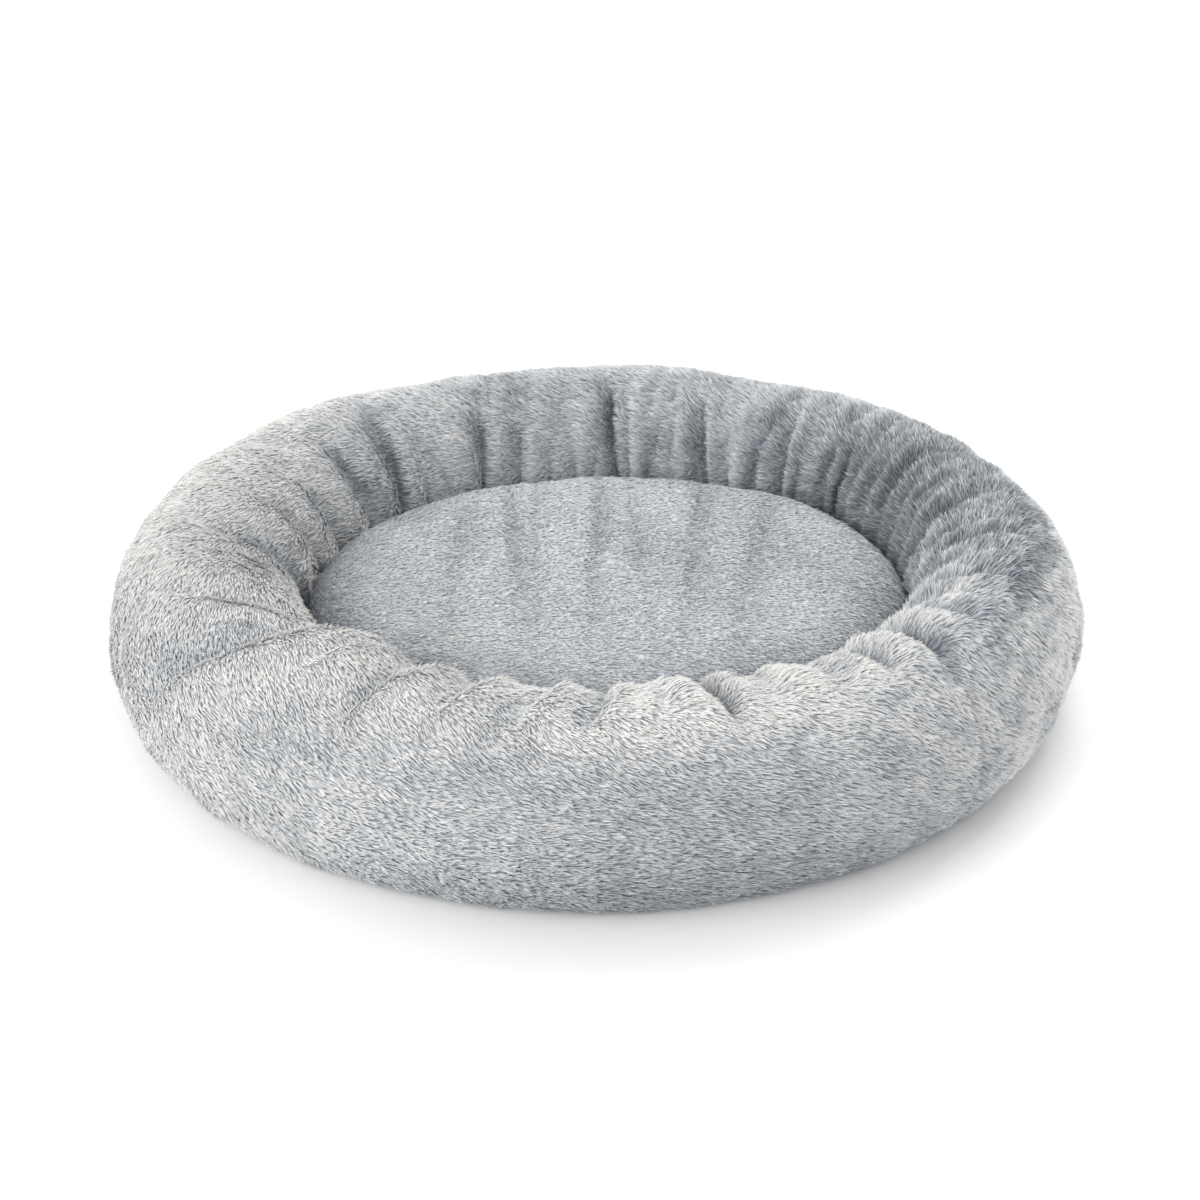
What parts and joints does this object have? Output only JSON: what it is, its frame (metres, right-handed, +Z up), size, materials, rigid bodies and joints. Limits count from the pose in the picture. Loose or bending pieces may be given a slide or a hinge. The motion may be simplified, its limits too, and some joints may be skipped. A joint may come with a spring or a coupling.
{
  "type": "pet cushion bed",
  "caption": "Oval plush pet bed: a fat gathered bolster ring round a loose, crowned cushion, with a non-slip base and a zip low on the back.",
  "frame": {"origin": "on the floor, under the middle of the bed's outline", "axes": "+Z up, +X along the bed's long way, +Y to the back, where the zip is"},
  "size_m": [0.9, 0.75, 0.164],
  "materials": {
    "plush": "matte",
    "fibre": "matte",
    "lining": "matte",
    "base_cloth": "matte",
    "tape": "matte",
    "label": "satin",
    "coil": "satin",
    "zip_metal": "satin"
  },
  "bodies": {
    "bed": {"bolster_cover_front": "plush", "bolster_cover_back": "plush", "bolster_inner_bag": "lining", "bolster_fill": "fibre", "gather_tape": "tape", "base_panel": "base_cloth", "base_wadding": "fibre", "base_lining": "lining", "base_binding": "tape", "care_label": "label", "zip_tape_upper": "tape", "zip_tape_lower": "tape", "zip_coil_upper": "coil", "zip_coil_lower": "coil", "zip_stop_closed": "zip_metal", "zip_stop_open": "zip_metal"},
    "cushion": {"cushion_top_cover": "plush", "cushion_base_cover": "lining", "cushion_fill": "fibre"},
    "zip_slider": {"zip_slider": "zip_metal"},
    "zip_pull": {"zip_pull": "zip_metal"}
  },
  "joints": [
    {"name": "cushion_lift", "type": "slide", "parent": "bed", "child": "cushion", "axis": [0, 0, 1], "range_m": [0, 0.2]},
    {"name": "zip_travel", "type": "hinge", "parent": "bed", "child": "zip_slider", "pos_m": [0, -0.1654, 0.036], "axis": [0, 0, -1], "range_deg": [0, 35.7]},
    {"name": "zip_pull_turn", "type": "hinge", "parent": "zip_slider", "child": "zip_pull", "pos_m": [-0.16394, 0.34291, 0.0348], "axis": [-0.105, 0.3255, 0.9397], "range_deg": [0, 150]}
  ]
}
